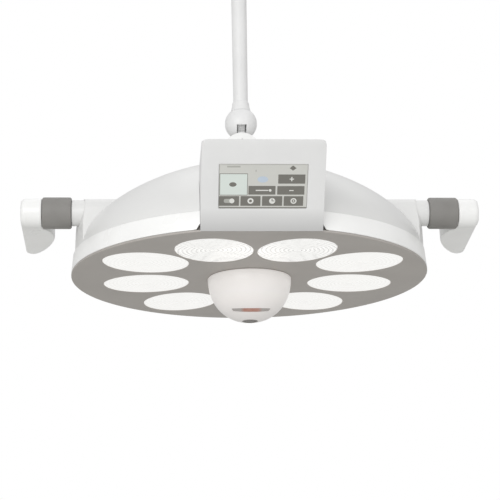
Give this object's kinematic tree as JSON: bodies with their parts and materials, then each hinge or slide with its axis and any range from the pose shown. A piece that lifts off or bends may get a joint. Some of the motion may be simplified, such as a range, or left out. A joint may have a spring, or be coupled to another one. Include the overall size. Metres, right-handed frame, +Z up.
{
  "type": "ceiling-hung dental operating light",
  "caption": "Round dental operating light on a drop tube with a two-axis knuckle, oval LED lenses, a tilted touch panel, a sensor dome and pull-off side handles.",
  "frame": {"origin": "centre of the ceiling flange's top face, on the axis of the drop tube", "axes": "+Z up out of the flange's top face, -Y towards the control panel, X along the side handles"},
  "size_m": [0.6212, 0.5582, 0.5461],
  "materials": {
    "white_paint": "smooth semi-gloss powder coat",
    "white_housing": "smooth moulded plastic, satin gloss",
    "band_white": "bright white, smooth",
    "taupe_plate": "satin taupe",
    "grip_grey": "matt grey grip",
    "lens_glow": "frosted lens with fine concentric grooves",
    "panel_grey": "satin light grey",
    "screen_glass": null,
    "dome_white": "warm white, satin",
    "window_red": "tinted window",
    "dark_lens": "dark glossy lens",
    "black_plastic": "matt black",
    "board_green": "solder-masked circuit board",
    "acetal_washer": "plain white acetal",
    "steel_parts": "machined steel",
    "aluminium_parts": "machined aluminium"
  },
  "bodies": {
    "mount": {"ceiling_flange": "aluminium_parts", "swivel_housing": "aluminium_parts", "swivel_bearing": "steel_parts", "terminal_block": "black_plastic", "canopy": "white_paint", "flange_screw_1": "steel_parts", "flange_screw_2": "steel_parts", "flange_screw_3": "steel_parts"},
    "drop": {"drop_tube": "white_paint", "tube_nut": "steel_parts", "supply_cable": "black_plastic", "knuckle_collar": "white_paint", "knuckle_ball": "white_paint", "pitch_pin": "steel_parts"},
    "link": {"knuckle_link": "steel_parts", "pitch_washer_left": "acetal_washer", "pitch_washer_right": "acetal_washer"},
    "head": {"yoke": "white_paint", "roll_pin": "steel_parts", "yoke_screw": "black_plastic", "hub_plate": "aluminium_parts", "chassis": "aluminium_parts", "driver_board": "board_green", "cover": "white_housing", "rim_band": "band_white", "face_plate": "taupe_plate", "rim_gasket": "taupe_plate", "lens_1": "lens_glow", "lens_2": "lens_glow", "lens_3": "lens_glow", "lens_4": "lens_glow", "lens_5": "lens_glow", "lens_6": "lens_glow", "lens_7": "lens_glow", "lens_8": "lens_glow", "led_module_1": "aluminium_parts", "led_module_2": "aluminium_parts", "led_module_3": "aluminium_parts", "led_module_4": "aluminium_parts", "led_module_5": "aluminium_parts", "led_module_6": "aluminium_parts", "led_module_7": "aluminium_parts", "led_module_8": "aluminium_parts", "panel_housing": "panel_grey", "display_module": "black_plastic", "touch_glass": "screen_glass", "control_board": "board_green", "sensor_core": "black_plastic", "sensor_board": "board_green", "handle_spigot_left": "white_housing", "grip_ring_left": "grip_grey", "handle_catch_left": "steel_parts", "handle_spigot_right": "white_housing", "grip_ring_right": "grip_grey", "handle_catch_right": "steel_parts"},
    "left_handle": {"handle_lever_left": "white_housing"},
    "right_handle": {"handle_lever_right": "white_housing"},
    "dome": {"dome_shell": "dome_white", "sensor_window": "window_red", "dome_lens": "dark_lens"}
  },
  "joints": [
    {"name": "swivel", "type": "hinge", "parent": "mount", "child": "drop", "pos_m": [0, 0, -0.02], "axis": [0, 0, 1], "range_deg": [-165, 165]},
    {"name": "pitch", "type": "hinge", "parent": "drop", "child": "link", "pos_m": [0, 0, -0.2586], "axis": [1, 0, 0], "range_deg": [-45, 45]},
    {"name": "roll", "type": "hinge", "parent": "link", "child": "head", "pos_m": [0, 0, -0.3032], "axis": [0, 1, 0], "range_deg": [-30, 30]},
    {"name": "left_handle_pull", "type": "slide", "parent": "head", "child": "left_handle", "axis": [-1, 0, 0], "range_m": [0, 0.04]},
    {"name": "right_handle_pull", "type": "slide", "parent": "head", "child": "right_handle", "axis": [1, 0, 0], "range_m": [0, 0.04]},
    {"name": "dome_pull", "type": "slide", "parent": "head", "child": "dome", "axis": [0, 0, -1], "range_m": [0, 0.06]}
  ]
}
